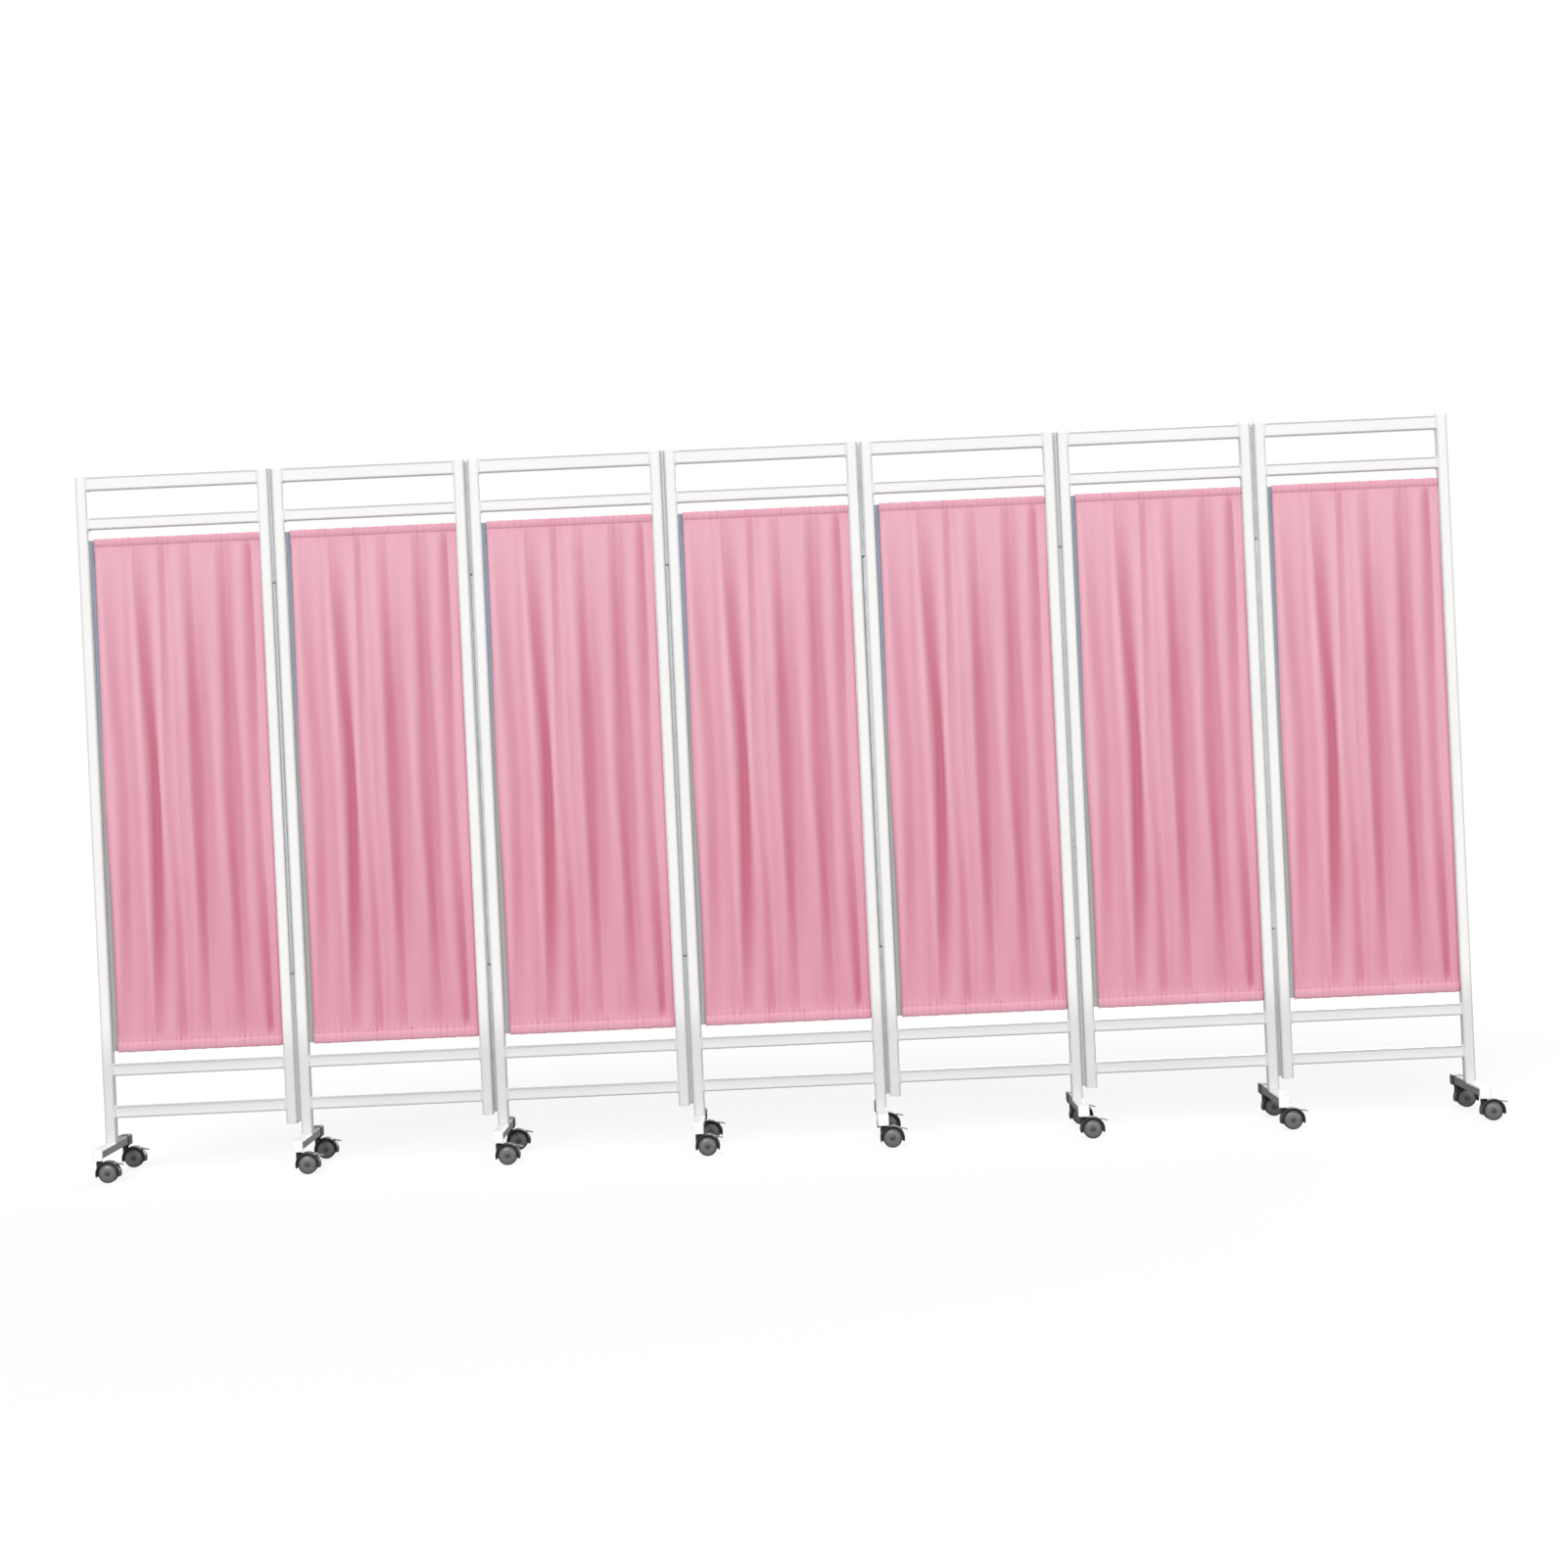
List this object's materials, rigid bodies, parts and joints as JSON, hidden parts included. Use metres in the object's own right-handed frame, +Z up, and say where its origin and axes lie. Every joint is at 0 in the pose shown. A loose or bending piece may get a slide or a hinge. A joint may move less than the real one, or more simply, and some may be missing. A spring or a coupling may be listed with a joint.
{
  "type": "ward privacy screen",
  "caption": "Folding ward privacy screen: white tube frames with gathered pink curtains, hinged side by side, on T feet with braked swivel castors.",
  "frame": {"origin": "on the floor, below the middle of the screen's bounding box with the panels in one line", "axes": "+X along the screen to the right seen from its front, -Y out of its front, +Z up"},
  "size_m": [3.566, 0.35, 1.8],
  "materials": {
    "painted_tube": "white powder coat",
    "curtain_cloth": "matt pink cloth",
    "hinge_steel": "zinc plated",
    "castor_plastic": "black moulded",
    "wheel_rubber": "dark grey",
    "foot_paint": "dark grey paint",
    "end_cap": "white moulded"
  },
  "bodies": {
    "panel_4": {"frame_4": "painted_tube", "curtain_4": "curtain_cloth", "hinge_pin_4": "hinge_steel"},
    "panel_3": {"frame_3": "painted_tube", "curtain_3": "curtain_cloth", "hinge_pin_3": "hinge_steel"},
    "panel_2": {"frame_2": "painted_tube", "curtain_2": "curtain_cloth", "hinge_pin_2": "hinge_steel"},
    "panel_1": {"frame_1": "painted_tube", "curtain_1": "curtain_cloth", "hinge_pin_1": "hinge_steel"},
    "panel_5": {"frame_5": "painted_tube", "curtain_5": "curtain_cloth", "hinge_pin_5": "hinge_steel"},
    "panel_6": {"frame_6": "painted_tube", "curtain_6": "curtain_cloth", "hinge_pin_6": "hinge_steel"},
    "panel_7": {"frame_7": "painted_tube", "curtain_7": "curtain_cloth"},
    "castor_front_1": {"castor_body_front_1": "castor_plastic"},
    "wheels_front_1": {"castor_wheels_front_1": "wheel_rubber"},
    "castor_front_2": {"castor_body_front_2": "castor_plastic"},
    "wheels_front_2": {"castor_wheels_front_2": "wheel_rubber"},
    "castor_front_3": {"castor_body_front_3": "castor_plastic"},
    "wheels_front_3": {"castor_wheels_front_3": "wheel_rubber"},
    "castor_front_4": {"castor_body_front_4": "castor_plastic"},
    "wheels_front_4": {"castor_wheels_front_4": "wheel_rubber"},
    "castor_front_5": {"castor_body_front_5": "castor_plastic"},
    "wheels_front_5": {"castor_wheels_front_5": "wheel_rubber"},
    "castor_front_6": {"castor_body_front_6": "castor_plastic"},
    "wheels_front_6": {"castor_wheels_front_6": "wheel_rubber"},
    "castor_front_7": {"castor_body_front_7": "castor_plastic"},
    "wheels_front_7": {"castor_wheels_front_7": "wheel_rubber"},
    "castor_front_8": {"castor_body_front_8": "castor_plastic"},
    "wheels_front_8": {"castor_wheels_front_8": "wheel_rubber"},
    "castor_back_1": {"castor_body_back_1": "castor_plastic"},
    "wheels_back_1": {"castor_wheels_back_1": "wheel_rubber"},
    "castor_back_2": {"castor_body_back_2": "castor_plastic"},
    "wheels_back_2": {"castor_wheels_back_2": "wheel_rubber"},
    "castor_back_3": {"castor_body_back_3": "castor_plastic"},
    "wheels_back_3": {"castor_wheels_back_3": "wheel_rubber"},
    "castor_back_4": {"castor_body_back_4": "castor_plastic"},
    "wheels_back_4": {"castor_wheels_back_4": "wheel_rubber"},
    "castor_back_5": {"castor_body_back_5": "castor_plastic"},
    "wheels_back_5": {"castor_wheels_back_5": "wheel_rubber"},
    "castor_back_6": {"castor_body_back_6": "castor_plastic"},
    "wheels_back_6": {"castor_wheels_back_6": "wheel_rubber"},
    "castor_back_7": {"castor_body_back_7": "castor_plastic"},
    "wheels_back_7": {"castor_wheels_back_7": "wheel_rubber"},
    "castor_back_8": {"castor_body_back_8": "castor_plastic"},
    "wheels_back_8": {"castor_wheels_back_8": "wheel_rubber"},
    "brake_1": {"brake_lever_1": "castor_plastic"},
    "brake_2": {"brake_lever_2": "castor_plastic"},
    "brake_3": {"brake_lever_3": "castor_plastic"},
    "brake_4": {"brake_lever_4": "castor_plastic"},
    "brake_5": {"brake_lever_5": "castor_plastic"},
    "brake_6": {"brake_lever_6": "castor_plastic"},
    "brake_7": {"brake_lever_7": "castor_plastic"},
    "brake_8": {"brake_lever_8": "castor_plastic"}
  },
  "joints": [
    {"name": "fold_3_4", "type": "hinge", "parent": "panel_4", "child": "panel_3", "pos_m": [-0.276, -0.012, 0.95], "axis": [0, 0, 1], "range_deg": [0, 120]},
    {"name": "fold_4_5", "type": "hinge", "parent": "panel_4", "child": "panel_5", "pos_m": [0.228, 0.012, 0.95], "axis": [0, 0, 1], "range_deg": [0, 120]},
    {"name": "brake_press_4", "type": "hinge", "parent": "castor_front_4", "child": "brake_4", "pos_m": [-0.22065, -0.15, 0.049], "axis": [0, 1, 0], "range_deg": [0, 20]},
    {"name": "swivel_front_4", "type": "hinge", "parent": "panel_4", "child": "castor_front_4", "pos_m": [-0.257, -0.15, 0.069], "axis": [0, 0, 1], "continuous": true},
    {"name": "roll_front_4", "type": "hinge", "parent": "castor_front_4", "child": "wheels_front_4", "pos_m": [-0.235, -0.15, 0.02415], "axis": [0, 1, 0], "continuous": true},
    {"name": "fold_2_3", "type": "hinge", "parent": "panel_3", "child": "panel_2", "pos_m": [-0.78, 0.012, 0.95], "axis": [0, 0, -1], "range_deg": [0, 120]},
    {"name": "fold_5_6", "type": "hinge", "parent": "panel_5", "child": "panel_6", "pos_m": [0.732, -0.012, 0.95], "axis": [0, 0, -1], "range_deg": [0, 120]},
    {"name": "fold_1_2", "type": "hinge", "parent": "panel_2", "child": "panel_1", "pos_m": [-1.284, -0.012, 0.95], "axis": [0, 0, 1], "range_deg": [0, 120]},
    {"name": "fold_6_7", "type": "hinge", "parent": "panel_6", "child": "panel_7", "pos_m": [1.236, 0.012, 0.95], "axis": [0, 0, 1], "range_deg": [0, 120]},
    {"name": "swivel_back_4", "type": "hinge", "parent": "panel_4", "child": "castor_back_4", "pos_m": [-0.257, 0.15, 0.069], "axis": [0, 0, 1], "continuous": true},
    {"name": "roll_back_4", "type": "hinge", "parent": "castor_back_4", "child": "wheels_back_4", "pos_m": [-0.235, 0.15, 0.02415], "axis": [0, 1, 0], "continuous": true},
    {"name": "brake_press_1", "type": "hinge", "parent": "castor_front_1", "child": "brake_1", "pos_m": [-1.73265, -0.15, 0.049], "axis": [0, 1, 0], "range_deg": [0, 20]},
    {"name": "brake_press_2", "type": "hinge", "parent": "castor_front_2", "child": "brake_2", "pos_m": [-1.22865, -0.15, 0.049], "axis": [0, 1, 0], "range_deg": [0, 20]},
    {"name": "brake_press_3", "type": "hinge", "parent": "castor_front_3", "child": "brake_3", "pos_m": [-0.72465, -0.15, 0.049], "axis": [0, 1, 0], "range_deg": [0, 20]},
    {"name": "brake_press_5", "type": "hinge", "parent": "castor_front_5", "child": "brake_5", "pos_m": [0.24535, -0.15, 0.049], "axis": [0, 1, 0], "range_deg": [0, 20]},
    {"name": "brake_press_6", "type": "hinge", "parent": "castor_front_6", "child": "brake_6", "pos_m": [0.74935, -0.15, 0.049], "axis": [0, 1, 0], "range_deg": [0, 20]},
    {"name": "brake_press_7", "type": "hinge", "parent": "castor_front_7", "child": "brake_7", "pos_m": [1.25335, -0.15, 0.049], "axis": [0, 1, 0], "range_deg": [0, 20]},
    {"name": "brake_press_8", "type": "hinge", "parent": "castor_front_8", "child": "brake_8", "pos_m": [1.75735, -0.15, 0.049], "axis": [0, 1, 0], "range_deg": [0, 20]},
    {"name": "swivel_front_1", "type": "hinge", "parent": "panel_1", "child": "castor_front_1", "pos_m": [-1.769, -0.15, 0.069], "axis": [0, 0, 1], "continuous": true},
    {"name": "swivel_front_2", "type": "hinge", "parent": "panel_2", "child": "castor_front_2", "pos_m": [-1.265, -0.15, 0.069], "axis": [0, 0, 1], "continuous": true},
    {"name": "swivel_front_3", "type": "hinge", "parent": "panel_3", "child": "castor_front_3", "pos_m": [-0.761, -0.15, 0.069], "axis": [0, 0, 1], "continuous": true},
    {"name": "swivel_front_5", "type": "hinge", "parent": "panel_4", "child": "castor_front_5", "pos_m": [0.209, -0.15, 0.069], "axis": [0, 0, 1], "continuous": true},
    {"name": "swivel_front_6", "type": "hinge", "parent": "panel_5", "child": "castor_front_6", "pos_m": [0.713, -0.15, 0.069], "axis": [0, 0, 1], "continuous": true},
    {"name": "swivel_front_7", "type": "hinge", "parent": "panel_6", "child": "castor_front_7", "pos_m": [1.217, -0.15, 0.069], "axis": [0, 0, 1], "continuous": true},
    {"name": "swivel_front_8", "type": "hinge", "parent": "panel_7", "child": "castor_front_8", "pos_m": [1.721, -0.15, 0.069], "axis": [0, 0, 1], "continuous": true},
    {"name": "swivel_back_1", "type": "hinge", "parent": "panel_1", "child": "castor_back_1", "pos_m": [-1.769, 0.15, 0.069], "axis": [0, 0, 1], "continuous": true},
    {"name": "swivel_back_2", "type": "hinge", "parent": "panel_2", "child": "castor_back_2", "pos_m": [-1.265, 0.15, 0.069], "axis": [0, 0, 1], "continuous": true},
    {"name": "swivel_back_3", "type": "hinge", "parent": "panel_3", "child": "castor_back_3", "pos_m": [-0.761, 0.15, 0.069], "axis": [0, 0, 1], "continuous": true},
    {"name": "swivel_back_5", "type": "hinge", "parent": "panel_4", "child": "castor_back_5", "pos_m": [0.209, 0.15, 0.069], "axis": [0, 0, 1], "continuous": true},
    {"name": "swivel_back_6", "type": "hinge", "parent": "panel_5", "child": "castor_back_6", "pos_m": [0.713, 0.15, 0.069], "axis": [0, 0, 1], "continuous": true},
    {"name": "swivel_back_7", "type": "hinge", "parent": "panel_6", "child": "castor_back_7", "pos_m": [1.217, 0.15, 0.069], "axis": [0, 0, 1], "continuous": true},
    {"name": "swivel_back_8", "type": "hinge", "parent": "panel_7", "child": "castor_back_8", "pos_m": [1.721, 0.15, 0.069], "axis": [0, 0, 1], "continuous": true},
    {"name": "roll_front_1", "type": "hinge", "parent": "castor_front_1", "child": "wheels_front_1", "pos_m": [-1.747, -0.15, 0.02415], "axis": [0, 1, 0], "continuous": true},
    {"name": "roll_front_2", "type": "hinge", "parent": "castor_front_2", "child": "wheels_front_2", "pos_m": [-1.243, -0.15, 0.02415], "axis": [0, 1, 0], "continuous": true},
    {"name": "roll_front_3", "type": "hinge", "parent": "castor_front_3", "child": "wheels_front_3", "pos_m": [-0.739, -0.15, 0.02415], "axis": [0, 1, 0], "continuous": true},
    {"name": "roll_front_5", "type": "hinge", "parent": "castor_front_5", "child": "wheels_front_5", "pos_m": [0.231, -0.15, 0.02415], "axis": [0, 1, 0], "continuous": true},
    {"name": "roll_front_6", "type": "hinge", "parent": "castor_front_6", "child": "wheels_front_6", "pos_m": [0.735, -0.15, 0.02415], "axis": [0, 1, 0], "continuous": true},
    {"name": "roll_front_7", "type": "hinge", "parent": "castor_front_7", "child": "wheels_front_7", "pos_m": [1.239, -0.15, 0.02415], "axis": [0, 1, 0], "continuous": true},
    {"name": "roll_front_8", "type": "hinge", "parent": "castor_front_8", "child": "wheels_front_8", "pos_m": [1.743, -0.15, 0.02415], "axis": [0, 1, 0], "continuous": true},
    {"name": "roll_back_1", "type": "hinge", "parent": "castor_back_1", "child": "wheels_back_1", "pos_m": [-1.747, 0.15, 0.02415], "axis": [0, 1, 0], "continuous": true},
    {"name": "roll_back_2", "type": "hinge", "parent": "castor_back_2", "child": "wheels_back_2", "pos_m": [-1.243, 0.15, 0.02415], "axis": [0, 1, 0], "continuous": true},
    {"name": "roll_back_3", "type": "hinge", "parent": "castor_back_3", "child": "wheels_back_3", "pos_m": [-0.739, 0.15, 0.02415], "axis": [0, 1, 0], "continuous": true},
    {"name": "roll_back_5", "type": "hinge", "parent": "castor_back_5", "child": "wheels_back_5", "pos_m": [0.231, 0.15, 0.02415], "axis": [0, 1, 0], "continuous": true},
    {"name": "roll_back_6", "type": "hinge", "parent": "castor_back_6", "child": "wheels_back_6", "pos_m": [0.735, 0.15, 0.02415], "axis": [0, 1, 0], "continuous": true},
    {"name": "roll_back_7", "type": "hinge", "parent": "castor_back_7", "child": "wheels_back_7", "pos_m": [1.239, 0.15, 0.02415], "axis": [0, 1, 0], "continuous": true},
    {"name": "roll_back_8", "type": "hinge", "parent": "castor_back_8", "child": "wheels_back_8", "pos_m": [1.743, 0.15, 0.02415], "axis": [0, 1, 0], "continuous": true}
  ]
}
